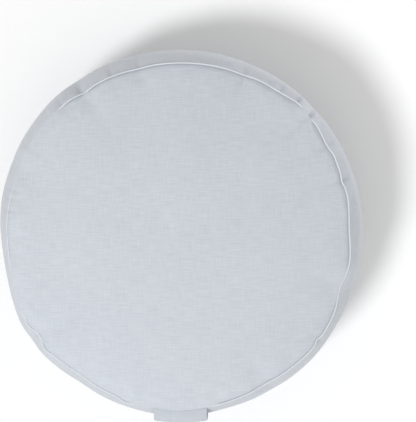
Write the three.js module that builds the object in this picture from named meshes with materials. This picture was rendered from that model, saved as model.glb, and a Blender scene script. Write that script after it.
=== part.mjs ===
// Round meditation cushion (zafu) with a carry strap, in millimetres, +Z up.
// The origin is the centre of the flat patch on which the cushion rests, and the strap is on the -Y side.
//
// As it is sewn: a top disc, a bottom disc and a side band make one stuffed cover, which is one filled solid.
// A narrow welt of the same cloth is caught in each of the two round seams.
// A flat strap runs down the band, its ends caught in the same seams, and bows out far enough for fingers.

import * as THREE from "three";

// Driving dimensions of the stuffed cover
const SEAM_RADIUS = 160; // finished radius of both discs
const BELLY = 14; // how far the stuffed band swells past its seams
const BOTTOM_SEAM_Z = 14;
const TOP_SEAM_Z = 128;
const CROWN = 22; // rise of the top disc over its seam
const CROWN_POWER = 2.4; // flat in the middle, steeper towards the seam
const REST_RADIUS = 126; // edge of the patch that lies flat on the floor
const BAND_MIDDLE_Z = (TOP_SEAM_Z + BOTTOM_SEAM_Z) / 2;
const BAND_HALF = (TOP_SEAM_Z - BOTTOM_SEAM_Z) / 2;

// Welt and the valley that it lies in
const GAP = 0.3; // clear space between pieces that are sewn together
const WELT_RADIUS = 1.6;
const WELT_SIDES = 6;
const VALLEY_ROOM = 0.1; // spare depth under the welt, so that its flats clear the cloth too
const VALLEY_DEPTH = WELT_RADIUS + GAP + VALLEY_ROOM;

// Strap
const STRAP_WIDTH = 50;
const STRAP_THICKNESS = 2.5;
const STRAP_STEPS = 28;
const STRAP_COLUMNS = 8;
const STRAP_MIDDLE_WRAP = 0.35; // how much of the band's curve the strap still follows where it stands off
const STRAP_WRAP_POWER = 4; // the higher, the nearer to its ends it flattens
const STRAP_CAUGHT = { along: WELT_RADIUS + 2 * GAP, off: GAP / 2 }; // its ends stop just short of the welts
const STRAP_LEAVING = { along: 8, off: 1.2 }; // and still lie on the band here
// How far the middle of its thickness stands off the band, from the top down
const STRAP_BOW = [
  { z: 105, out: 6.6 },
  { z: 82, out: 9.2 },
  { z: 58, out: 10.4 },
  { z: 36, out: 8 },
];

// Facets
const SEGMENTS = 150;
const TOP_ROW_RADII = [155.5, 151, 144, 132, 112, 84, 45];
const BOTTOM_ROW_RADII = [REST_RADIUS, 136, 145, 151, 155.5];
const BAND_ROWS = 9;
const BAND_END = 0.915; // share of the band's half height at its outermost rows

// Where the sewing gathers the cloth at the top seam: azimuth and half width in degrees, depth in mm.
const TOP_PINCHES = [
  { at: 19, width: 3.5, depth: 1.6 },
  { at: 31, width: 4, depth: 1.4 },
  { at: 43, width: 3.5, depth: 3.6 },
  { at: 68, width: 3.5, depth: 1.4 },
  { at: 104, width: 4, depth: 1.3 },
  { at: 123.5, width: 3.5, depth: 3.4 },
  { at: 158, width: 4.5, depth: 1.4 },
  { at: 215.5, width: 3.2, depth: 2.8 },
  { at: 235, width: 4.5, depth: 2.2 },
  { at: 300, width: 4.5, depth: 1.8 },
  { at: 342, width: 4.5, depth: 1.8 },
];
const BOTTOM_PINCHES = [
  { at: 12, width: 4.5, depth: 1.6 },
  { at: 57, width: 4, depth: 2 },
  { at: 96, width: 4.5, depth: 1.5 },
  { at: 141, width: 4, depth: 2.2 },
  { at: 190, width: 4.5, depth: 1.6 },
  { at: 228, width: 4, depth: 2 },
  { at: 312, width: 4.5, depth: 1.8 },
];
const SEAM_PULL_IN = 0.6; // share of a gather's depth by which it draws its seam in
const TOP_SEAM_SINK = 0.5; // share by which it draws the top seam down
const BOTTOM_SEAM_LIFT = 0.3; // share by which it draws the bottom seam up
const BAND_FURROW = 0.55; // depth of the furrow it makes in the band, as a share of its own
const DISC_FURROW = 0.5; // depth of the furrow in the top disc
const BAND_FURROW_REACH = 34; // how far a furrow runs along the band
const DISC_FURROW_REACH = 20; // how far it runs in over the disc
const FURROW_START = 3 * VALLEY_DEPTH; // where a furrow leaves the seam
const FURROW_RISE = 10; // distance over which it comes to its depth

// Slow wander of the top seam: how far the stuffing pushes it out, in mm.
const TOP_SEAM_SWAYS = [
  { at: 3, width: 9, out: -2.4 },
  { at: 46, width: 9, out: 3.4 },
  { at: 134, width: 8, out: 3.2 },
  { at: 150, width: 10, out: 2.2 },
  { at: 208, width: 6, out: 2.2 },
  { at: 221, width: 5, out: 2 },
  { at: 270, width: 13, out: 3 },
  { at: 321, width: 9, out: 1.6 },
];
const SEAM_HOLD = 2 * VALLEY_DEPTH; // cloth this near a seam moves with it as one
const SEAM_REACH = 30; // distance over which the cloth past that still follows it

// Uneven stuffing of the band: dents and swellings, in mm.
const BAND_SWELLS = [
  { at: 130, width: 24, out: 1.6 },
  { at: 188, width: 13, out: -3 },
  { at: 214, width: 10, out: 2.4 },
  { at: 237, width: 8, out: -1.4 },
  { at: 345, width: 16, out: -1.2 },
];

const CLOTH = new THREE.MeshStandardMaterial({ color: 0xcdd3da, roughness: 0.92, metalness: 0 });

// A smooth bump of height 1 round an azimuth, in degrees, that closes on itself after a full turn.
function bump(azimuth, at, width) {
  const turn = THREE.MathUtils.euclideanModulo(azimuth - at + 180, 360) - 180;
  return Math.exp(-((turn / width) ** 2));
}

function sumOf(rows, azimuth, column) {
  return rows.reduce((sum, row) => sum + row[column] * bump(azimuth, row.at, row.width), 0);
}

function fade(distance, reach) {
  return Math.exp(-((distance / reach) ** 2));
}

// How far the top seam lies from its true circle at an azimuth: radially and in height.
function topSeamShift(azimuth) {
  const pinch = sumOf(TOP_PINCHES, azimuth, "depth");
  return { r: sumOf(TOP_SEAM_SWAYS, azimuth, "out") - SEAM_PULL_IN * pinch, z: -TOP_SEAM_SINK * pinch };
}

function bottomSeamShift(azimuth) {
  const pinch = sumOf(BOTTOM_PINCHES, azimuth, "depth");
  return { r: -SEAM_PULL_IN * pinch, z: BOTTOM_SEAM_LIFT * pinch };
}

const SEAMS = [
  { z: TOP_SEAM_Z, up: 1, shift: topSeamShift, pinches: TOP_PINCHES },
  { z: BOTTOM_SEAM_Z, up: -1, shift: bottomSeamShift, pinches: BOTTOM_PINCHES },
];

// The even outline: discs, band and the valleys between them
function topDiscHeight(r) {
  return TOP_SEAM_Z + CROWN * (1 - (r / SEAM_RADIUS) ** CROWN_POWER);
}

function bottomDiscHeight(r) {
  const share = Math.max(0, r - REST_RADIUS) / (SEAM_RADIUS - REST_RADIUS);
  return BOTTOM_SEAM_Z * share ** 2;
}

function bandRadius(z) {
  return SEAM_RADIUS + BELLY * (1 - ((z - BAND_MIDDLE_Z) / BAND_HALF) ** 2);
}

// A point of the band's outline, from its lowest row at -1 to its highest at 1
function bandRow(share) {
  const z = BAND_MIDDLE_Z + BAND_HALF * BAND_END * share;
  return new THREE.Vector2(bandRadius(z), z);
}

function valley(seam) {
  const inward = VALLEY_DEPTH * Math.SQRT1_2;
  return new THREE.Vector2(SEAM_RADIUS - inward, seam.z - seam.up * inward);
}

function coverOutline() {
  const [top, bottom] = SEAMS;
  const discs = (radii, height) => radii.map((r) => new THREE.Vector2(r, height(r)));
  const band = Array.from({ length: BAND_ROWS }, (_, row) => bandRow((2 * row) / (BAND_ROWS - 1) - 1));
  return [
    new THREE.Vector2(0, 0),
    ...discs(BOTTOM_ROW_RADII, bottomDiscHeight),
    valley(bottom),
    ...band,
    valley(top),
    ...discs(TOP_ROW_RADII, topDiscHeight),
    new THREE.Vector2(0, topDiscHeight(0)),
  ];
}

// Where a point of the even outline lies once the cloth is gathered and the stuffing has settled
function settle(r, z, azimuth) {
  const onBand = z > BOTTOM_SEAM_Z && z < TOP_SEAM_Z && r > SEAM_RADIUS - VALLEY_DEPTH;
  let outward = 0;
  let upward = 0;
  for (const seam of SEAMS) {
    const distance = Math.hypot(r - SEAM_RADIUS, z - seam.z);
    const follow = fade(Math.max(0, distance - SEAM_HOLD), SEAM_REACH);
    const shift = seam.shift(azimuth);
    const rest = z < BOTTOM_SEAM_Z ? z / BOTTOM_SEAM_Z : 1; // the patch on the floor stays flat
    outward += shift.r * follow * rest;
    upward += shift.z * follow * rest;
    const past = Math.max(0, distance - FURROW_START);
    const furrow = sumOf(seam.pinches, azimuth, "depth") * (1 - fade(past, FURROW_RISE));
    const onTop = seam.up > 0 && z > seam.z;
    if (onBand) outward -= BAND_FURROW * furrow * fade(past, BAND_FURROW_REACH);
    if (onTop) upward -= DISC_FURROW * furrow * fade(past, DISC_FURROW_REACH);
  }
  if (onBand) {
    const middle = 1 - ((z - BAND_MIDDLE_Z) / BAND_HALF) ** 2;
    outward += sumOf(BAND_SWELLS, azimuth, "out") * middle;
  }
  return { r: r + outward, z: z + upward };
}

// Turns an outline round the Z axis, then moves each point in its own radial plane.
function turned(outline, move) {
  const geometry = new THREE.LatheGeometry(outline, SEGMENTS);
  geometry.rotateX(Math.PI / 2);
  const place = geometry.attributes.position;
  for (let i = 0; i < place.count; i += 1) {
    const [x, y, z] = [place.getX(i), place.getY(i), place.getZ(i)];
    const r = Math.hypot(x, y);
    if (r < GAP) continue; // the two poles stay on the axis
    const moved = move(r, z, THREE.MathUtils.radToDeg(Math.atan2(y, x)));
    place.setXYZ(i, (x * moved.r) / r, (y * moved.r) / r, moved.z);
  }
  return geometry;
}

function cover() {
  return turned(coverOutline(), settle);
}

function welt(seam) {
  const ring = Array.from({ length: WELT_SIDES + 1 }, (_, side) => {
    const angle = (2 * Math.PI * (side % WELT_SIDES)) / WELT_SIDES;
    return new THREE.Vector2(
      SEAM_RADIUS + WELT_RADIUS * Math.cos(angle),
      seam.z + WELT_RADIUS * Math.sin(angle),
    );
  });
  return turned(ring, (r, z, azimuth) => {
    const shift = seam.shift(azimuth);
    return { r: r + shift.r, z: z + shift.z };
  });
}

// The strap's middle line, as radius and height: from one welt to the other, bowed out and sagging a little
function strapLine() {
  const lift = STRAP_THICKNESS / 2 + GAP;
  const beside = (seam, { along, off }) => {
    const slope = bandRow(seam.up).sub(valley(seam)).normalize();
    const out = new THREE.Vector2(-slope.y * seam.up, slope.x * seam.up);
    return valley(seam).addScaledVector(slope, along).addScaledVector(out, lift + off);
  };
  const [top, bottom] = SEAMS;
  const points = [
    beside(top, STRAP_CAUGHT),
    beside(top, STRAP_LEAVING),
    ...STRAP_BOW.map(({ z, out }) => new THREE.Vector2(bandRadius(z) + out, z)),
    beside(bottom, STRAP_LEAVING),
    beside(bottom, STRAP_CAUGHT),
  ];
  return new THREE.CatmullRomCurve3(points.map(({ x, y }) => new THREE.Vector3(x, y, 0)));
}

// The strap seen from its edge: its thickness laid along both sides of that line
function strapSection() {
  const line = strapLine();
  const side = (sign) => Array.from({ length: STRAP_STEPS + 1 }, (_, step) => {
    const point = line.getPointAt(step / STRAP_STEPS);
    const along = line.getTangentAt(step / STRAP_STEPS);
    const across = new THREE.Vector2(-along.y, along.x);
    return new THREE.Vector2(point.x, point.y).addScaledVector(across, (sign * STRAP_THICKNESS) / 2);
  });
  return new THREE.Shape([...side(1), ...side(-1).reverse()]);
}

// The section drawn out to the strap's width on the -Y side, then laid round the band at its ends
function strap() {
  const extrusion = { depth: STRAP_WIDTH, steps: STRAP_COLUMNS, bevelEnabled: false };
  const geometry = new THREE.ExtrudeGeometry(strapSection(), extrusion);
  geometry.translate(0, 0, -STRAP_WIDTH / 2);
  const [outward, upward, across] = [[0, -1, 0], [0, 0, 1], [-1, 0, 0]].map((v) => new THREE.Vector3(...v));
  geometry.applyMatrix4(new THREE.Matrix4().makeBasis(outward, upward, across));
  const place = geometry.attributes.position;
  for (let i = 0; i < place.count; i += 1) {
    const [x, y, z] = [place.getX(i), place.getY(i), place.getZ(i)];
    const under = { r: bandRadius(z), z };
    const settled = settle(under.r, under.z, THREE.MathUtils.radToDeg(Math.atan2(y, x)));
    const towardsEnd = ((z - BAND_MIDDLE_Z) / (BAND_HALF * BAND_END)) ** STRAP_WRAP_POWER;
    const wrap = THREE.MathUtils.lerp(STRAP_MIDDLE_WRAP, 1, Math.min(1, towardsEnd));
    const round = -y - Math.sqrt(y * y - x * x);
    place.setXYZ(i, x, y + wrap * round - (settled.r - under.r), z + settled.z - under.z);
  }
  return geometry;
}

function named(name, geometry) {
  const mesh = new THREE.Mesh(geometry, CLOTH);
  mesh.name = name;
  return mesh;
}

const zafu = new THREE.Group();
zafu.add(named("cushion", cover()));
zafu.add(named("top_welt", welt(SEAMS[0])));
zafu.add(named("bottom_welt", welt(SEAMS[1])));
zafu.add(named("carry_strap", strap()));

export default zafu;
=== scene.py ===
# %% [markdown]
# # A zafu, a round meditation cushion
# The real one is a cloth drum: a round top panel, a round bottom panel and a side band, sewn together
# with a narrow welt in both seams and stuffed until the band swells. A flat strap on the band carries
# it. Its solids are loaded first, as a fixed frame in metres, and the sizes below are read from them.

# %% Load the solids
import math

import bmesh
import bpy
import numpy as np
from mathutils import Matrix, Vector


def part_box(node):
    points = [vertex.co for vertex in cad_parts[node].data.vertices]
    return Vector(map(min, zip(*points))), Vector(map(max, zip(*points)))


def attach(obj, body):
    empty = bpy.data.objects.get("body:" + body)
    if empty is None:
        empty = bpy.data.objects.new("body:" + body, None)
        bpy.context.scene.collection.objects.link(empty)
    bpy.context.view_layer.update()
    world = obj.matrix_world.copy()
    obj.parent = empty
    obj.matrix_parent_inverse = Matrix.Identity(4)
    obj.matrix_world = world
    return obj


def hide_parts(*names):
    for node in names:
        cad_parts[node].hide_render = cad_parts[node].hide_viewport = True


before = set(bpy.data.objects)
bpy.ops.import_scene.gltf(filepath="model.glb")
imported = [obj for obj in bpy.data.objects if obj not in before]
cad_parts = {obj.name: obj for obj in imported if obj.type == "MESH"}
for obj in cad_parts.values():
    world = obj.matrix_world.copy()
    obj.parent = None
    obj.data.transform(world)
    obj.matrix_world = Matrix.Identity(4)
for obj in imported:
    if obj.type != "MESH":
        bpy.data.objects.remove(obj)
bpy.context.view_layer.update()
MM = 0.001
print("solids:", sorted(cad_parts))

# %% [markdown]
# ## The camera
# The photograph looks almost straight down. The welt's ring lies a little lower in the picture than the
# outline does, and that shift says how far the camera leans off the vertical, and which way. The
# picture's upper edge is +Y. A long lens from two metres gives the gentle perspective, and the aim puts
# the outline where it is there.

# %% Place the camera
PHOTO_SIZE_PX = (416, 422)
OUTLINE_CENTRE_PX = (181.0, 232.0)
OUTLINE_RADIUS_PX = 182.0
CAMERA_DISTANCE = 1.9
CAMERA_LEAN = math.radians(3.9)
CAMERA_LEANS_TO = math.radians(67)
SENSOR = 36.0


def place_camera():
    low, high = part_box("cushion")
    fullest = Vector((0, 0, (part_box("top_welt")[1].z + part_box("bottom_welt")[0].z) / 2))
    radius = (high.y - low.y) / 2
    sideways = Vector((math.cos(CAMERA_LEANS_TO), math.sin(CAMERA_LEANS_TO), 0))
    back = sideways * math.sin(CAMERA_LEAN) + Vector((0, 0, math.cos(CAMERA_LEAN)))
    up = (Vector((0, 1, 0)) - back * back.y).normalized()
    facing = Matrix((up.cross(back), up, back)).transposed()
    focal_px = OUTLINE_RADIUS_PX * CAMERA_DISTANCE / radius
    across = OUTLINE_CENTRE_PX[0] - PHOTO_SIZE_PX[0] / 2
    upward = PHOTO_SIZE_PX[1] / 2 - OUTLINE_CENTRE_PX[1]
    seen = Vector((across, upward, -focal_px))
    aim = seen.rotation_difference(Vector((0, 0, -1))).to_matrix()
    data = bpy.data.cameras.new("photo_camera")
    data.sensor_width = SENSOR
    data.lens = focal_px * SENSOR / max(PHOTO_SIZE_PX)
    camera = bpy.data.objects.new("photo_camera", data)
    camera.matrix_world = Matrix.Translation(fullest + back * CAMERA_DISTANCE) @ (facing @ aim).to_4x4()
    bpy.context.scene.collection.objects.link(camera)
    bpy.context.scene.camera = camera
    return camera


camera = place_camera()
print(f"camera {camera.location.z:.2f} m up, lens {camera.data.lens:.0f} mm")

# %% [markdown]
# ## The light and the floor
# The cushion lies on white paper. A broad lamp at the lower left casts the shadow, whose length gives
# the lamp's height: a sun lamp with a wide disc is the simplest soft lamp that is as strong all over
# the floor. A soft box stands on the strap's side, so near that its light falls off across the cushion
# and leaves the far rim darker. The band stays light on its shaded side too, so a low white card stands
# there, under the level of the top panel. A bright room fills the shadow to a pale grey.

# %% Light the paper
KEY_LAMP = {"from": 219.5, "height": 57.3, "away": 1, "spread": 13, "strength": 1.57, "colour": "#fcfdff"}
PANELS = [
    {"name": "soft_box", "from": 268, "height": 62, "away": 1.6, "size": (1.2, 1.2), "strength": 3.2},
    {"name": "white_card", "from": 40, "height": 4, "away": 0.7, "size": (2.2, 0.1), "strength": 2.2},
]
ROOM_STRENGTH = 0.53
ROOM_COLOUR = "#fffefb"
PAPER_COLOUR = "#fafafa"
FLOOR_SIDE = 8.0
FLOOR_DROP = 0.3 * MM


def linear(hex_colour):
    """An sRGB hex colour as the linear red, green, blue and alpha that a shader takes."""
    shares = [int(hex_colour[i:i + 2], 16) / 255 for i in (1, 3, 5)]
    return [s / 12.92 if s <= 0.04045 else ((s + 0.055) / 1.055) ** 2.4 for s in shares] + [1.0]


def add_node(tree, kind, settings=None, **links):
    """Adds a node and sets its properties, then gives each socket a value or another node's output.

    A socket goes by its name, with _ for a space, or by i and its number where several share a name.
    """
    node = tree.nodes.new(kind)
    for name, value in (settings or {}).items():
        setattr(node, name, value)
    for name, value in links.items():
        numbered = name[0] == "i" and name[1:].isdigit()
        socket = node.inputs[int(name[1:]) if numbered else name.replace("_", " ")]
        if isinstance(value, bpy.types.NodeSocket):
            tree.links.new(value, socket)
        else:
            socket.default_value = value
    return node


def new_material(name):
    material = bpy.data.materials.new(name)
    material.use_nodes = True
    return material, material.node_tree, material.node_tree.nodes["Principled BSDF"]


def add_lamp(data, row):
    """Adds a lamp that shines from a row's compass angle and height above the floor, both in degrees."""
    lamp = bpy.data.objects.new(data.name, data)
    turn = math.radians(row["from"])
    rise = math.radians(row["height"])
    towards = Vector((math.cos(turn) * math.cos(rise), math.sin(turn) * math.cos(rise), math.sin(rise)))
    lamp.rotation_mode = "QUATERNION"
    lamp.rotation_quaternion = towards.to_track_quat("Z", "Y")
    lamp.location = towards * row["away"]
    lamp.visible_camera = False
    bpy.context.scene.collection.objects.link(lamp)


def hang_key():
    data = bpy.data.lights.new("key_lamp", "SUN")
    data.energy = KEY_LAMP["strength"]
    data.angle = math.radians(KEY_LAMP["spread"])
    data.color = linear(KEY_LAMP["colour"])[:3]
    add_lamp(data, KEY_LAMP)


def stand_panel(row):
    data = bpy.data.lights.new(row["name"], "AREA")
    data.shape = "RECTANGLE"
    data.size, data.size_y = row["size"]
    data.energy = row["strength"]
    add_lamp(data, row)


def light_the_room():
    room = bpy.data.worlds.new("bright_room")
    room.use_nodes = True
    room.node_tree.nodes["Background"].inputs["Color"].default_value = linear(ROOM_COLOUR)
    room.node_tree.nodes["Background"].inputs["Strength"].default_value = ROOM_STRENGTH
    bpy.context.scene.world = room
    bpy.context.scene.view_settings.view_transform = "Standard"


def lay_paper():
    bm = bmesh.new()
    bmesh.ops.create_grid(bm, x_segments=8, y_segments=8, size=FLOOR_SIDE / 2)
    bmesh.ops.translate(bm, verts=bm.verts, vec=(0, 0, -FLOOR_DROP))
    mesh = bpy.data.meshes.new("paper")
    bm.to_mesh(mesh)
    bm.free()
    # Matt and nearly white, so the eye sees only the shadow on it.
    material, _, shader = new_material("white paper")
    shader.inputs["Base Color"].default_value = linear(PAPER_COLOUR)
    shader.inputs["Roughness"].default_value = 0.9
    mesh.materials.append(material)
    paper = bpy.data.objects.new("paper", mesh)
    bpy.context.scene.collection.objects.link(paper)


hang_key()
for row in PANELS:
    stand_panel(row)
light_the_room()
lay_paper()
print("a key lamp,", len(PANELS), "panels, a bright room and a sheet of paper")

# %% [markdown]
# ## What the seams say
# A sewn cover is ruled by its seams. The solids' two welts give the path of each seam all the way
# round, with every place where the sewing has gathered the cloth, and the fullest ring of the stuffed
# solid gives the swell of the band. Each is read as a small table by compass angle, which `np.interp`
# then looks up between its rows. Two more tables, in degrees and millimetres, hold what the photograph
# shows finer than the solids do: the small wiggles of the top seam, and where the band hangs slacker or
# fuller.

# %% Read the seams and the swell
def places_of(mesh):
    """The places of a mesh's points, one row each."""
    flat = np.empty(len(mesh.vertices) * 3, np.float32)
    mesh.vertices.foreach_get("co", flat)
    return flat.reshape(-1, 3).astype(float)


def points_of(name):
    """The points of one of the solids."""
    return places_of(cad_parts[name].data)


def compass(points):
    """Each point's angle round the cushion, in degrees from +X."""
    return np.degrees(np.arctan2(points[:, 1], points[:, 0])) % 360


def read_ring(points):
    """The middle radius and middle height of a ring's points, as two functions of the compass angle."""
    angle = np.round(compass(points), 1) % 360
    radius = np.hypot(points[:, 0], points[:, 1])
    rows = []
    for at in np.unique(angle):
        here = angle == at
        middle_radius = (radius[here].min() + radius[here].max()) / 2
        middle_height = (points[here, 2].min() + points[here, 2].max()) / 2
        rows.append((at, middle_radius, middle_height))
    turns, radii, heights = np.array(rows).T
    return (lambda turn: np.interp(turn, turns, radii, period=360),
            lambda turn: np.interp(turn, turns, heights, period=360))


top_ring_radius, top_seam_height = read_ring(points_of("top_welt"))
bottom_seam_radius, bottom_seam_height = read_ring(points_of("bottom_welt"))
ALL_ROUND = np.arange(0, 360, 1.0)
SEAM_ROLLS_OUT = 0.8 * MM
RING_SLACK = 1 * MM  # how far from a ring a point may lie and still count
FLOOR_SLACK = 0.1 * MM
WIGGLES = [
    {"at": 0, "wide": 8, "out": -0.8},
    {"at": 18.6, "wide": 1.6, "out": -1.0},
    {"at": 28, "wide": 2.2, "out": 1.0},
    {"at": 43.5, "wide": 6, "out": 2.0},
    {"at": 63, "wide": 6, "out": 1.0},
    {"at": 100, "wide": 20, "out": -0.9},
    {"at": 133, "wide": 5, "out": -2.0},
    {"at": 185, "wide": 7, "out": -1.2},
    {"at": 211, "wide": 2.2, "out": 1.8},
    {"at": 220, "wide": 2.5, "out": 1.7},
    {"at": 253, "wide": 3.5, "out": 2.6},
    {"at": 323, "wide": 1.6, "out": -1.8},
    {"at": 342, "wide": 6, "out": -2.6},
]
SLACK = [
    {"at": 193, "wide": 14, "out": -1.2},
    {"at": 206, "wide": 5, "out": -0.6},
    {"at": 233, "wide": 6, "out": 1.0},
    {"at": 285, "wide": 8, "out": -1.1},
    {"at": 327, "wide": 8, "out": -1.1},
]


def turn_between(angle, at):
    """The turn from one compass angle to another, from -180 to 180 degrees."""
    return (angle - at + 180) % 360 - 180


def fade(distance, reach):
    """One at no distance, and soon nothing past the reach."""
    return np.exp(-(distance / reach) ** 2)


def add_up(rows, angle):
    """How far a table's bumps stand out at a compass angle."""
    return sum(row["out"] * MM * fade(turn_between(angle, row["at"]), row["wide"]) for row in rows)


def top_seam_radius(angle):
    """The top seam, which the stuffing has rolled out a little, with the small wiggles of its sewing."""
    return top_ring_radius(angle) + SEAM_ROLLS_OUT + add_up(WIGGLES, angle)


SEAM_RADIUS = float(np.median(bottom_seam_radius(ALL_ROUND)))
TOP_SEAM = float(np.max(top_seam_height(ALL_ROUND)))
BOTTOM_SEAM = float(np.min(bottom_seam_height(ALL_ROUND)))
BAND_MIDDLE = (TOP_SEAM + BOTTOM_SEAM) / 2
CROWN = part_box("cushion")[1].z - TOP_SEAM

solid = points_of("cushion")
swell_radius, _ = read_ring(solid[np.abs(solid[:, 2] - BAND_MIDDLE) < RING_SLACK])
REST_RADIUS = float(np.hypot(*solid[solid[:, 2] < FLOOR_SLACK, :2].T).max())
print(f"seams {SEAM_RADIUS / MM:.0f} mm in radius at {BOTTOM_SEAM / MM:.0f} and {TOP_SEAM / MM:.0f} mm,"
      f" crown {CROWN / MM:.0f} mm, flat to {REST_RADIUS / MM:.0f} mm")

# %% [markdown]
# ## Where the welt shows
# On the photograph the welt is a fine light line, with a thin dark valley on its inner side. It dives
# out of sight at two hard gathers, and along three stretches the stuffing has rolled it over the edge.
# On the side of the lamp it only just stands out. A share from 0 to 1 says how much of it shows at each
# compass angle: it sets the depth of the valley and the height of the welt.

# %% Say where the welt shows
STRETCHES = [
    {"from": 40.8, "to": 47.0, "soft": 1.6, "shows": 0},
    {"from": 122.5, "to": 124.0, "soft": 0.8, "shows": 0},
    {"from": 132, "to": 166, "soft": 4, "shows": 0},
    {"from": 160, "to": 256, "soft": 8, "shows": 0.45},
    {"from": 190, "to": 207, "soft": 3, "shows": 0},
    {"from": 254, "to": 282, "soft": 3, "shows": 0},
    {"from": 280, "to": 330, "soft": 8, "shows": 0.6},
    {"from": 336, "to": 350, "soft": 3, "shows": 0.3},
]
VALLEY = 1.1 * MM
VALLEY_REACH = 1.7 * MM
STEEP = 3  # how sharply a stretch begins, over its soft end


def welt_shows(angle):
    """How much of the top welt shows at a compass angle, from 0 to 1."""
    shows = np.ones_like(angle, dtype=float)
    for row in STRETCHES:
        rise = 1 / (1 + np.exp(-STEEP * (angle - row["from"]) / row["soft"]))
        fall = 1 / (1 + np.exp(-STEEP * (row["to"] - angle) / row["soft"]))
        shows *= 1 - (1 - row["shows"]) * rise * fall
    return shows


print("the welt shows on", f"{welt_shows(ALL_ROUND).mean():.0%}", "of the top seam")

# %% [markdown]
# ## The stuffed cover
# The cover is one closed skin. The round panels start as square grids, whose rings are pulled round,
# because a grid keeps even faces all over a panel where a spun disc would crowd them at its middle. The
# band is a short column of points, spun once round. The panels' rims and the band's ends meet point for
# point, and merging doubles sews them.

# %% Shape the panels and the band
PANEL_FACES = 64  # along one side of the square, so that the rim has four times as many
BAND_ROWS = 34
CROWN_POWER = 2.4
SWELL_POWER = 2.2
ROOM_TO_SWELL = 2.3 * MM  # left to the stuffing
AT_THE_MIDDLE = 1e-6
CROWDING = 0.75  # of the panels' rings towards the rim
EVEN_ROWS = 0.55  # of the band's rows, the rest closer towards the seams
CLOSER_ROWS = 0.45
SEAM_FOLLOW = 30 * MM
SEAM_FLAT = 4 * MM
WIGGLE_FOLLOW = 6 * MM
FURROW_START = 6 * MM
FURROW_RISE = 10 * MM
TOP_FURROW = {"share": 0.15, "run": 20 * MM}
BAND_FURROW = {"share": 1.1, "run": 34 * MM}
SEWN_WITHIN = 0.05 * MM


def crowd(share):
    """Draws the rings of a panel closer together towards its rim, where the cloth bends most."""
    return CROWDING * (1 - (1 - share) ** 2) + (1 - CROWDING) * share


def gather(angle):
    """How deep the sewing draws the cloth in at a compass angle of the top seam."""
    return TOP_SEAM - top_seam_height(angle)


def furrow(away, kind):
    """The hollow that a gather draws into the cloth: it begins a little off the seam and runs out."""
    past = np.maximum(0, away - FURROW_START)
    return kind["share"] * (1 - fade(past, FURROW_RISE)) * fade(past, kind["run"])


def top_panel(share, angle):
    """A point of the top panel, from its middle at 0 to its rim at 1, as a radius and a height."""
    rim = top_seam_radius(angle) - VALLEY * welt_shows(angle)
    radius = rim * share
    away = rim - radius
    height = TOP_SEAM + CROWN * (1 - share ** CROWN_POWER)
    followed = fade(np.maximum(0, away - SEAM_FLAT), SEAM_FOLLOW)
    height -= gather(angle) * (followed + furrow(away, TOP_FURROW))
    height -= VALLEY * welt_shows(angle) * fade(away, VALLEY_REACH)
    return radius, height


def bottom_panel(share, angle):
    """The same for the bottom panel, which lies flat on the floor and curls up to its seam."""
    rim = bottom_seam_radius(angle) - VALLEY
    radius = rim * share
    rising = np.maximum(0, radius - REST_RADIUS) / (rim - REST_RADIUS)
    height = (bottom_seam_height(angle) + VALLEY) * rising ** 2
    return radius, height


def side_band(share, angle):
    """A point of the band, from its lower seam at -1 to its upper one at 1."""
    top = top_seam_height(angle)
    bottom = bottom_seam_height(angle)
    height = bottom + (top - bottom) * (share + 1) / 2
    below = top - height
    above = height - bottom
    near_top = top_ring_radius(angle) + SEAM_ROLLS_OUT - SEAM_RADIUS
    near_bottom = bottom_seam_radius(angle) - SEAM_RADIUS
    radius = SEAM_RADIUS + near_top * fade(below, SEAM_FOLLOW) + near_bottom * fade(above, SEAM_FOLLOW)
    radius += add_up(WIGGLES, angle) * fade(below, WIGGLE_FOLLOW)
    swell = swell_radius(angle) + add_up(SLACK, angle) - ROOM_TO_SWELL - SEAM_RADIUS
    radius += swell * (1 - np.abs(share) ** SWELL_POWER)
    radius -= gather(angle) * furrow(below, BAND_FURROW)
    shows = welt_shows(angle)
    radius -= VALLEY * (shows * fade(below, VALLEY_REACH) + fade(above, VALLEY_REACH))
    height -= VALLEY * (shows * fade(below, VALLEY_REACH) - fade(above, VALLEY_REACH))
    return radius, height


def put(verts, radius, angle, height):
    """Moves points to places given round the cushion's axis."""
    turn = np.radians(angle)
    places = np.column_stack([radius * np.cos(turn), radius * np.sin(turn), height])
    for vert, place in zip(verts, places):
        vert.co = place


def pull_round(x, y):
    """Where a point of a square from -1 to 1 lies on a disc: its share of the radius and its angle."""
    if max(abs(x), abs(y)) < AT_THE_MIDDLE:
        return 0.0, 0.0
    if abs(x) >= abs(y):
        return abs(x), 45 * y / x + (180 if x < 0 else 0)
    return abs(y), 90 - 45 * x / y + (180 if y < 0 else 0)


def lay_threads(bm, faces, lay):
    """Writes where each corner of the faces lies on the flat cloth, in metres, for threads to follow."""
    layer = bm.loops.layers.uv.verify()
    for face in faces:
        spots = [lay(loop.vert.co) for loop in face.loops]
        wraps = max(u for u, _ in spots) - min(u for u, _ in spots) > SEAM_RADIUS
        for loop, (u, v) in zip(face.loops, spots):
            once_round = 2 * math.pi * SEAM_RADIUS if wraps and u < 0 else 0
            loop[layer].uv = (u + once_round, v)


def add_round_panel(bm, panel):
    made = bmesh.ops.create_grid(bm, x_segments=PANEL_FACES, y_segments=PANEL_FACES, size=1)["verts"]
    share, angle = np.array([pull_round(vert.co.x, vert.co.y) for vert in made]).T
    angle = angle % 360
    radius, height = panel(crowd(share), angle)
    put(made, radius, angle, height)
    faces = {face for vert in made for face in vert.link_faces}
    lay_threads(bm, faces, lambda co: (co.x, co.y))


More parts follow.
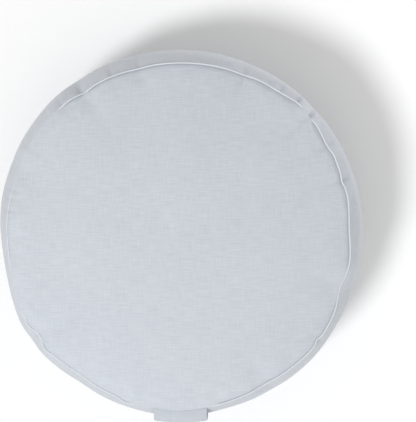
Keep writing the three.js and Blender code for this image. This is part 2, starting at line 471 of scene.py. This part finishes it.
def add_band(bm):
    even = np.linspace(-1, 1, BAND_ROWS + 1)
    closer = np.sin(even * math.pi / 2)
    shares = EVEN_ROWS * even + CLOSER_ROWS * closer
    column = [bm.verts.new((1, 0, share)) for share in shares]
    edges = [bm.edges.new(pair) for pair in zip(column, column[1:])]
    before = set(bm.verts) - set(column)
    bmesh.ops.spin(bm, geom=column + edges, axis=(0, 0, 1), cent=(0, 0, 0), steps=4 * PANEL_FACES,
                   angle=2 * math.pi, use_merge=True)
    made = [vert for vert in bm.verts if vert not in before]
    places = np.array([vert.co for vert in made])
    angle = compass(places)
    radius, height = side_band(places[:, 2], angle)
    put(made, radius, angle, height)
    faces = {face for vert in made for face in vert.link_faces}
    lay_threads(bm, faces, lambda co: (math.atan2(co.y, co.x) * SEAM_RADIUS, co.z))


def sew_cover():
    bm = bmesh.new()
    add_round_panel(bm, top_panel)
    add_round_panel(bm, bottom_panel)
    add_band(bm)
    bmesh.ops.remove_doubles(bm, verts=bm.verts, dist=SEWN_WITHIN)
    bmesh.ops.recalc_face_normals(bm, faces=bm.faces)
    for face in bm.faces:
        face.smooth = True
    open_edges = sum(edge.is_boundary for edge in bm.edges)
    mesh = bpy.data.meshes.new("cushion_cover")
    bm.to_mesh(mesh)
    bm.free()
    cover = bpy.data.objects.new("cushion_cover", mesh)
    bpy.context.scene.collection.objects.link(cover)
    print(f"cover sewn from {len(mesh.polygons)} faces, {open_edges} edges left open")
    return cover


cover = sew_cover()

# %% [markdown]
# ## Stuffing by simulation
# Cut and sewn cloth only looks stuffed once something presses on it from inside. Blender's cloth solver
# does that with pressure: the seams and the patch on the floor are pinned, the cloth gets a little
# spare length, and twenty frames blow it up against its sewing. How far a point may move is capped, so
# that the size stays the solids', and close to a seam the sewing holds the cloth as it was.

# %% Stuff the cover
PRESSURE = 4.0
SPARE_CLOTH = 0.012
FRAMES = 20
MOST_MOVE = 1.8 * MM
SEWING_HOLDS = 7 * MM
ON_THE_FLOOR = 0.05 * MM
ON_THE_SEAM = 0.1 * MM
HARDLY_MOVED = 0.05 * MM


def move_to(mesh, places):
    mesh.vertices.foreach_set("co", places.astype(np.float32).ravel())
    mesh.update()


def from_seams(places):
    """How far each point lies from the nearer of the two seams."""
    angle = compass(places)
    radius = np.hypot(places[:, 0], places[:, 1])
    away = []
    for panel in (top_panel, bottom_panel):
        rim_radius, rim_height = panel(np.ones_like(angle), angle)
        away.append(np.hypot(radius - rim_radius, places[:, 2] - rim_height))
    return np.minimum(*away)


def stuff(cover):
    start = places_of(cover.data)
    away = from_seams(start)
    held = (start[:, 2] < ON_THE_FLOOR) | (away < ON_THE_SEAM)
    sewn = cover.vertex_groups.new(name="sewn")
    sewn.add([int(i) for i in np.flatnonzero(held)], 1.0, "REPLACE")
    cloth = cover.modifiers.new("stuffing", "CLOTH")
    cloth.collision_settings.use_collision = False
    settings = cloth.settings
    settings.quality = 5
    settings.use_pressure = True
    settings.uniform_pressure_force = PRESSURE
    settings.shrink_min = -SPARE_CLOTH
    settings.vertex_group_mass = "sewn"
    settings.effector_weights.gravity = 0
    for number in range(1, FRAMES + 1):
        bpy.context.scene.frame_set(number)
    evaluated = cover.evaluated_get(bpy.context.evaluated_depsgraph_get())
    moved = places_of(evaluated.data) - start
    cover.modifiers.remove(cloth)
    cover.vertex_groups.remove(sewn)
    bpy.context.scene.frame_set(1)
    moved *= (1 - fade(away, SEWING_HOLDS))[:, None]
    length = np.linalg.norm(moved, axis=1)
    end = start + moved * np.minimum(1, MOST_MOVE / np.maximum(length, HARDLY_MOVED))[:, None]
    end[:, 2] = np.maximum(0, end[:, 2])
    move_to(cover.data, end)
    print(f"stuffing pushed the cloth {length.mean() / MM:.1f} mm on average,"
          f" {length.max() / MM:.1f} mm at most")


def subdivide(piece):
    """Divides each face of a piece once, and keeps the finer mesh."""
    fine = piece.modifiers.new("fine", "SUBSURF")
    fine.levels = fine.render_levels = 1
    evaluated = piece.evaluated_get(bpy.context.evaluated_depsgraph_get())
    mesh = bpy.data.meshes.new_from_object(evaluated)
    piece.modifiers.remove(fine)
    old, piece.data = piece.data, mesh
    mesh.name = piece.name
    bpy.data.meshes.remove(old)


stuff(cover)
subdivide(cover)
print(f"cover divided to {len(cover.data.polygons)} faces")

# %% [markdown]
# ## Puckers at the seam
# Where the sewing has caught a little more of the band than of the top, the spare cloth stands in short
# creases that run away from the seam. They are finer than the stuffing, so they are pressed in
# afterwards, each with its own depth and length, and its cloth piles up a little on both sides. Angles
# are in degrees and sizes in millimetres.

# %% Press the puckers in
PUCKERS = [
    {"at": 18.6, "deep": 2.2, "wide": 2.3, "long": 16, "onto_top": 0.3},
    {"at": 31.2, "deep": 1.7, "wide": 2.8, "long": 15, "onto_top": 0.3},
    {"at": 42.4, "deep": 4.0, "wide": 2.8, "long": 28, "onto_top": 0.2},
    {"at": 48.6, "deep": 3.2, "wide": 2.6, "long": 28, "onto_top": 0.1},
    {"at": 55.0, "deep": 1.8, "wide": 2.4, "long": 24, "onto_top": 0.1},
    {"at": 59.5, "deep": 1.2, "wide": 2.2, "long": 12, "onto_top": 0.2},
    {"at": 68.0, "deep": 1.9, "wide": 2.3, "long": 17, "onto_top": 0.3},
    {"at": 104, "deep": 1.2, "wide": 2.4, "long": 14, "onto_top": 0.3},
    {"at": 113.5, "deep": 1.7, "wide": 2.5, "long": 22, "onto_top": 0.2},
    {"at": 118.5, "deep": 1.0, "wide": 2.2, "long": 12, "onto_top": 0.2},
    {"at": 125.0, "deep": 2.3, "wide": 2.7, "long": 18, "onto_top": 0.2},
    {"at": 132.5, "deep": 1.4, "wide": 2.6, "long": 14, "onto_top": 0.4},
    {"at": 150, "deep": 0.6, "wide": 2.6, "long": 16, "onto_top": 0.9},
    {"at": 165, "deep": 1.1, "wide": 1.8, "long": 14, "onto_top": 0.9},
    {"at": 168, "deep": 0.9, "wide": 1.8, "long": 11, "onto_top": 0.9},
    {"at": 172, "deep": 1.0, "wide": 1.8, "long": 12, "onto_top": 0.9},
    {"at": 215.4, "deep": 1.2, "wide": 2.8, "long": 10, "onto_top": 0.4},
    {"at": 323, "deep": 1.3, "wide": 2.4, "long": 10, "onto_top": 0.4},
]
PILE_UP = 0.45
PILE_WIDTH = 2.2


def press_puckers(cover):
    """Presses the puckers in, and returns how deep each point was pressed."""
    places = places_of(cover.data)
    angle = compass(places)
    radius = np.hypot(places[:, 0], places[:, 1])
    inside = top_seam_radius(angle) - radius
    below = top_seam_height(angle) - places[:, 2]
    on_top = (inside > 0) & (places[:, 2] > BAND_MIDDLE)
    away = np.hypot(inside, below)
    press = np.zeros_like(radius)
    for row in PUCKERS:
        arc = np.radians(turn_between(angle, row["at"])) * SEAM_RADIUS
        across = fade(arc, row["wide"] * MM) - PILE_UP * fade(arc, PILE_WIDTH * row["wide"] * MM)
        share = np.where(on_top, row["onto_top"], 1.0)
        press += row["deep"] * MM * share * across * fade(away, row["long"] * MM)
    press[places[:, 2] < BAND_MIDDLE] = 0
    places[:, 2] -= press * on_top
    radius -= press * ~on_top
    turn = np.radians(angle)
    places[:, 0] = radius * np.cos(turn)
    places[:, 1] = radius * np.sin(turn)
    move_to(cover.data, places)
    print(f"{len(PUCKERS)} puckers, up to {press.max() / MM:.1f} mm deep")
    return press


pressed = press_puckers(cover)

# %% [markdown]
# ## Painted shade on the cloth
# The band is painted darker than the panels, as painted shade for the light on its sides. In a pucker and
# in the valley beside the welt, where the cloth is folded tight, more painted shade darkens it. A number
# on each point of the cover, from 0 to 1, says how much painted shade it gets, for the cloth's material
# to use. Where the stuffing has rolled the seam over the edge, the band's painted shade begins only
# farther down.

# %% Mark the painted shade
# Painted shade: how far the band, the valley beside the welt and each pucker are darkened.
BAND_SHADE = 0.2
ROLLED_OVER = 40 * MM
VALLEY_SHADE = 0.8
SHADE_REACH = 0.7 * MM
PUCKER_SHADE = 0.42  # for each millimetre that a pucker is deep


def mark_shade(cover, pressed):
    places = places_of(cover.data)
    angle = compass(places)
    inside = top_seam_radius(angle) - np.hypot(places[:, 0], places[:, 1])
    below = top_seam_height(angle) - places[:, 2]
    above = places[:, 2] - bottom_seam_height(angle)
    on_top = (inside > 0) & (above > below)
    on_band = ~on_top & (above > -VALLEY)
    # Painted shade in the valley beside the welt, on the band below the seam and in the puckers.
    valley = fade(inside - VALLEY - SHADE_REACH / 2, SHADE_REACH) * welt_shows(angle) ** 2 * on_top
    rolled = (1 - welt_shows(angle)) * (1 - np.clip(below / ROLLED_OVER, 0, 1))
    shade = VALLEY_SHADE * valley + BAND_SHADE * on_band * (1 - rolled)
    shade += PUCKER_SHADE * np.maximum(0, pressed) / MM
    mark = cover.data.attributes.new("shade", "FLOAT", "POINT")
    mark.data.foreach_set("value", np.minimum(1, shade).astype(np.float32))
    print(f"{on_band.sum()} points on the band and {(valley > 0.5).sum()} deep in the seam")


mark_shade(cover, pressed)

# %% [markdown]
# ## The welts
# A welt is a strip of the same cloth folded over a thin cord and caught in a seam. It is a ring of
# small round section that wanders with its seam, so a circle is spun round once and each of its
# sections is then carried to the seam's place. Where the welt hides, its section sinks into the fold.

# %% Spin the welts
WELT_RADIUS = 0.6 * MM
WELT_STEPS = 512
WELT_SIDES = 12
WELT_SINKS = 1.9 * MM
WELT_LEANS = 0.3


def make_welt(name, seam_radius, seam_height, shows, up):
    bm = bmesh.new()
    place = Matrix.Translation((SEAM_RADIUS, 0, 0)) @ Matrix.Rotation(math.pi / 2, 4, "X")
    bmesh.ops.create_circle(bm, segments=WELT_SIDES, radius=WELT_RADIUS, matrix=place)
    bmesh.ops.spin(bm, geom=bm.verts[:] + bm.edges[:], axis=(0, 0, 1), cent=(0, 0, 0), steps=WELT_STEPS,
                   angle=2 * math.pi, use_merge=True)
    layer = bm.loops.layers.uv.verify()
    for face in bm.faces:
        for loop in face.loops:
            co = loop.vert.co
            out = math.hypot(co.x, co.y) - SEAM_RADIUS
            round_cord = math.atan2(co.z, out) * WELT_RADIUS
            loop[layer].uv = (math.atan2(co.y, co.x) * SEAM_RADIUS, round_cord)
    places = np.array([vert.co for vert in bm.verts])
    angle = compass(places)
    out = np.hypot(places[:, 0], places[:, 1]) - SEAM_RADIUS
    sunk = WELT_SINKS * (1 - shows(angle)) ** 2
    radius = seam_radius(angle) + out - sunk * WELT_LEANS
    put(bm.verts, radius, angle, seam_height(angle) + places[:, 2] - up * sunk)
    bmesh.ops.recalc_face_normals(bm, faces=bm.faces)
    for face in bm.faces:
        face.smooth = True
    mesh = bpy.data.meshes.new(name)
    bm.to_mesh(mesh)
    bm.free()
    welt = bpy.data.objects.new(name, mesh)
    bpy.context.scene.collection.objects.link(welt)
    print(f"{name}: {len(mesh.polygons)} faces")
    return welt


welts = {
    "top_welt": make_welt("welt_top", top_seam_radius, top_seam_height, welt_shows, 1),
    "bottom_welt": make_welt("welt_bottom", bottom_seam_radius, bottom_seam_height, np.ones_like, -1),
}

# %% [markdown]
# ## The carry strap
# The strap is a strip of the cover's cloth, folded to a flat band and stitched along both edges. Its
# middle layer is read from the solid, station by station, so a grid is laid on it. Solidify gives it
# its thickness, less where the seams catch its ends, and subdivision rounds the folded edges.

# %% Lay the strap
STRAP_THICKNESS = 2.2 * MM
CAUGHT_THIN = 0.45
STRAP_LIES_IN = np.array([0, 4.6, 0]) * MM
STRAP_OFF_CENTRE = np.array([0.9, 0, 0]) * MM
FOLD_AT = 11 * MM
FOLD_REACH = 10 * MM
FOLD_STANDS_OUT = np.array([0, -4.7, 1.2]) * MM
STRAP_LEAVES = 20 * MM
STRAP_LANES = np.array([-25, -24.2, -22.5, -21, -19.5, -12, -4, 4, 12, 19.5, 21, 22.5, 24.2, 25]) * MM
SAME_COLUMN = 0.01 * MM


def read_strap():
    """The strap's middle layer: for each column of the solid across X, its stations from the top down."""
    points = np.unique(np.round(points_of("carry_strap"), 6), axis=0)
    columns = {}
    for x in np.unique(np.round(points[:, 0], 5)):
        column = points[np.abs(points[:, 0] - x) < SAME_COLUMN]
        apart = np.linalg.norm(column[:, None] - column[None], axis=2)
        np.fill_diagonal(apart, 1)
        middle = (column + column[apart.argmin(axis=1)]) / 2
        middle = np.unique(np.round(middle, 6), axis=0)
        columns[x] = middle[np.argsort(-middle[:, 2])]
    return columns


def settle_strap(columns):
    """Draws the strap's upper end into the seam, folds it out just below, and lays its middle in."""
    for rows in columns.values():
        along = np.concatenate([[0], np.linalg.norm(np.diff(rows, axis=0), axis=1).cumsum()])
        angle = compass(rows[:1])
        turn = math.radians(angle[0])
        radius = top_seam_radius(angle)[0] - STRAP_THICKNESS * CAUGHT_THIN / 2
        caught = np.array([radius * math.cos(turn), radius * math.sin(turn), top_seam_height(angle)[0]])
        free = 1 - fade(np.minimum(along, along[-1] - along), STRAP_LEAVES)
        fold = fade(along - FOLD_AT, FOLD_REACH) * (1 - fade(along, FOLD_AT / 2))
        rows += fade(along, FOLD_AT)[:, None] * (caught - rows[0])
        rows += free[:, None] * STRAP_LIES_IN + fold[:, None] * FOLD_STANDS_OUT + STRAP_OFF_CENTRE


def strap_place(columns, across, station):
    """A point of the middle layer, at a distance across the strap and a station along it."""
    xs = np.array(sorted(columns))
    rows = np.array([columns[x] for x in xs])
    steps = np.arange(rows.shape[1])
    line = np.array([[np.interp(station, steps, row[:, i]) for i in range(3)] for row in rows])
    return np.array([np.interp(across, xs, line[:, i]) for i in range(3)])


def thicken_strap(strap, station_of):
    """Gives the strap its folded thickness, less of it where the seams catch its ends."""
    plump = strap.vertex_groups.new(name="plump")
    ends = (0, max(station_of))
    for index, station in enumerate(station_of):
        plump.add([index], CAUGHT_THIN if station in ends else 1.0, "REPLACE")
    thick = strap.modifiers.new("folded", "SOLIDIFY")
    thick.thickness = STRAP_THICKNESS
    thick.offset = 0
    thick.vertex_group = "plump"
    round_edges = strap.modifiers.new("soft", "SUBSURF")
    round_edges.levels = round_edges.render_levels = 2


def lay_strap(columns):
    """Lays a grid on the middle layer, and returns the strap with its length."""
    stations = min(len(rows) for rows in columns.values()) - 1
    last_lane = len(STRAP_LANES) - 1
    bm = bmesh.new()
    made = bmesh.ops.create_grid(bm, x_segments=last_lane, y_segments=stations, size=1)["verts"]
    layer = bm.loops.layers.uv.verify()
    length = np.linalg.norm(np.diff(columns[min(columns, key=abs)], axis=0), axis=1).sum()
    spots = {}
    for vert in made:
        across = STRAP_LANES[round((vert.co.x + 1) / 2 * last_lane)]
        station = round((vert.co.y + 1) / 2 * stations)
        spots[vert] = (across, station)
        vert.co = strap_place(columns, across, station)
    for face in bm.faces:
        face.smooth = True
        for loop in face.loops:
            across, station = spots[loop.vert]
            loop[layer].uv = (across, length * station / stations)
    bmesh.ops.recalc_face_normals(bm, faces=bm.faces)
    if sum(face.normal.y for face in bm.faces) > 0:
        bmesh.ops.reverse_faces(bm, faces=bm.faces)
    station_of = [spots[vert][1] for vert in bm.verts]
    mesh = bpy.data.meshes.new("strap")
    bm.to_mesh(mesh)
    bm.free()
    strap = bpy.data.objects.new("strap", mesh)
    bpy.context.scene.collection.objects.link(strap)
    thicken_strap(strap, station_of)
    print(f"strap {length / MM:.0f} mm long and {np.ptp(STRAP_LANES) / MM:.0f} mm wide")
    return strap, length


columns = read_strap()
settle_strap(columns)
strap, strap_length = lay_strap(columns)

# %% [markdown]
# ## The strap's stitching
# Each stitch is a short bead of thread that lies along the strap and dips into the cloth at both ends.
# A small icosphere, drawn long, is repeated along both rows, almost flush with the cloth.

# %% Sew the strap's edges
STITCH_PITCH = 3.6 * MM
STITCH_LENGTH = 2.7 * MM
THREAD = 0.55 * MM
STITCH_INSET = 4 * MM
STITCH_LIFT = 0.87 * MM  # from the strap's middle layer
A_LITTLE_ON = 0.3  # stations
A_LITTLE_OVER = 1 * MM


def sew_strap(columns, length):
    stations = min(len(rows) for rows in columns.values()) - 1
    count = int(length / STITCH_PITCH)
    row_at = max(columns) - STITCH_INSET
    bm = bmesh.new()
    for across in (-row_at, row_at):
        for number in range(1, count):
            station = stations * (number + 0.5) / count
            here = Vector(strap_place(columns, across, station))
            along = (Vector(strap_place(columns, across, station + A_LITTLE_ON)) - here).normalized()
            side = Vector(strap_place(columns, across + A_LITTLE_OVER, station)) - here
            out = side.cross(along).normalized()
            out = -out if out.y > 0 else out
            axes = Matrix((along.cross(out), along, out)).transposed().to_4x4()
            size = Matrix.Diagonal((THREAD / 2, STITCH_LENGTH / 2, THREAD / 2, 1))
            place = Matrix.Translation(here + out * STITCH_LIFT) @ axes @ size
            bmesh.ops.create_icosphere(bm, subdivisions=2, radius=1, matrix=place)
    for face in bm.faces:
        face.smooth = True
    mesh = bpy.data.meshes.new("strap_stitches")
    bm.to_mesh(mesh)
    bm.free()
    stitches = bpy.data.objects.new("strap_stitches", mesh)
    bpy.context.scene.collection.objects.link(stitches)
    print(f"{2 * (count - 1)} stitches, {len(mesh.polygons)} faces")
    return stitches


stitches = sew_strap(columns, strap_length)

# %% [markdown]
# ## The cloth
# The cover is a plain-woven blend of linen and cotton, dyed a pale blue grey. Spun flax is uneven, so
# here and there a thread is thicker and catches more light: faint streaks that run both ways, the
# weft's a little stronger. The surface is matt, with some sheen from loose fibres. The pattern follows
# the flat cloth, by the UV map that each piece was given. Painted shade darkens the cover where its shade
# number says so. The welt is cut on the bias and is painted lighter, a painted highlight along its fold,
# and the strap's doubled cloth is painted a little darker, as painted shade.

# %% Weave the cloth
SLUB_LENGTH = 15  # mm
SLUB_WIDTH = 1.2  # mm; a real thread is half of this, too fine to show from two metres
PATCH_SIZE = 70  # mm, of the slow change of tone over the panel
# The darker grey that painted shade mixes into the cloth's colour.
PAINTED_SHADE_TONE = "#a0a5ae"
WARP_SHARE = 0.7
PATCH_SHARE = 0.3
TONE_SPREAD = 0.4
THREAD_RELIEF = 0.25 * MM
PLY_TURN = 3  # mm, that one turn of a sewing thread's plies takes


def weave_cloth(name, light, dark):
    """Matt cloth of light and dark threads: to the eye a soft grey-blue, with fine streaks both ways."""
    material, tree, shader = new_material(name)
    flat = add_node(tree, "ShaderNodeUVMap").outputs["UV"]
    streaks = []
    for length, width in ((SLUB_LENGTH, SLUB_WIDTH), (SLUB_WIDTH, SLUB_LENGTH)):
        per_metre = (1 / (length * MM), 1 / (width * MM), 1)
        lay = add_node(tree, "ShaderNodeMapping", Vector=flat, Scale=per_metre)
        slub = add_node(tree, "ShaderNodeTexNoise", {"noise_dimensions": "2D"},
                        Vector=lay.outputs["Vector"], Scale=1.0, Detail=2.0)
        streaks.append(slub.outputs["Fac"])
    both = add_node(tree, "ShaderNodeMath", {"operation": "MULTIPLY_ADD"}, i0=streaks[1], i1=WARP_SHARE,
                    i2=streaks[0])
    patch = add_node(tree, "ShaderNodeTexNoise", {"noise_dimensions": "2D"}, Vector=flat,
                     Scale=1 / (PATCH_SIZE * MM), Detail=1.0)
    cloud = add_node(tree, "ShaderNodeMath", {"operation": "MULTIPLY_ADD"}, i0=patch.outputs["Fac"],
                     i1=PATCH_SHARE, i2=both.outputs["Value"])
    middle = (1 + WARP_SHARE + PATCH_SHARE) / 2
    tone = add_node(tree, "ShaderNodeMapRange", Value=cloud.outputs["Value"],
                    From_Min=middle - TONE_SPREAD, From_Max=middle + TONE_SPREAD)
    colour = add_node(tree, "ShaderNodeMix", {"data_type": "RGBA"}, Factor=tone.outputs["Result"],
                      i6=linear(dark), i7=linear(light))
    # Painted shade: the shade number on the cover's points mixes the colour towards the darker grey.
    shade = add_node(tree, "ShaderNodeAttribute", {"attribute_name": "shade"})
    folded = add_node(tree, "ShaderNodeMix", {"data_type": "RGBA"}, Factor=shade.outputs["Fac"],
                      i6=colour.outputs[2], i7=linear(PAINTED_SHADE_TONE))
    tree.links.new(folded.outputs[2], shader.inputs["Base Color"])
    bump = add_node(tree, "ShaderNodeBump", Strength=0.3, Distance=THREAD_RELIEF,
                    Height=both.outputs["Value"])
    tree.links.new(bump.outputs["Normal"], shader.inputs["Normal"])
    shader.inputs["Roughness"].default_value = 0.9
    shader.inputs["Specular IOR Level"].default_value = 0.2
    shader.inputs["Sheen Weight"].default_value = 0.2
    shader.inputs["Sheen Roughness"].default_value = 0.5
    return material


def spin_thread(name, light, dark):
    """Sewing thread, whose two plies wind round each other: to the eye a fine, slightly beaded line."""
    material, tree, shader = new_material(name)
    where = add_node(tree, "ShaderNodeTexCoord").outputs["Object"]
    plies = add_node(tree, "ShaderNodeTexWave", {"bands_direction": "DIAGONAL"}, Vector=where,
                     Scale=1 / (PLY_TURN * MM), Distortion=1.0)
    colour = add_node(tree, "ShaderNodeMix", {"data_type": "RGBA"}, Factor=plies.outputs["Fac"],
                      i6=linear(dark), i7=linear(light))
    tree.links.new(colour.outputs[2], shader.inputs["Base Color"])
    shader.inputs["Roughness"].default_value = 0.7
    return material


# The cover's pale blue grey fills the picture.
cover.data.materials.append(weave_cloth("linen and cotton cover cloth", "#cfd4db", "#c1c6ce"))
# The welt is painted lighter than the cover cloth, a painted highlight, so that it reads as a fine bright
# line.
welt_cloth_painted_highlight = weave_cloth("bias-cut welt cloth with painted highlight", "#e0e4e8", "#d6dae0")
for welt in welts.values():
    welt.data.materials.append(welt_cloth_painted_highlight)
# The strap is painted a shade darker than the panel above it: painted shade for its steep fall.
strap.data.materials.append(weave_cloth("doubled strap cloth with painted shade", "#c5cad1", "#bbc0c8"))
# The thread is close to the cloth, so its rows show only from near by.
stitches.data.materials.append(spin_thread("cotton sewing thread", "#d3d7db", "#bfc4ca"))
print("cloths on", [piece.name for piece in (cover, *welts.values(), strap, stitches)])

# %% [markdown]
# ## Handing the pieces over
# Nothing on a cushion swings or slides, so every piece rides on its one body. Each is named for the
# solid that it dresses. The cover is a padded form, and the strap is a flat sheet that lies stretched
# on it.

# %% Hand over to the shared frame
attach(cover, "root")
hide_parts("cushion")
for node, welt in welts.items():
    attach(welt, "root")
    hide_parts(node)
for piece in (strap, stitches):
    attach(piece, "root")
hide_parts("carry_strap")
print("handed over:", [piece.name for piece in (cover, *welts.values(), strap, stitches)])
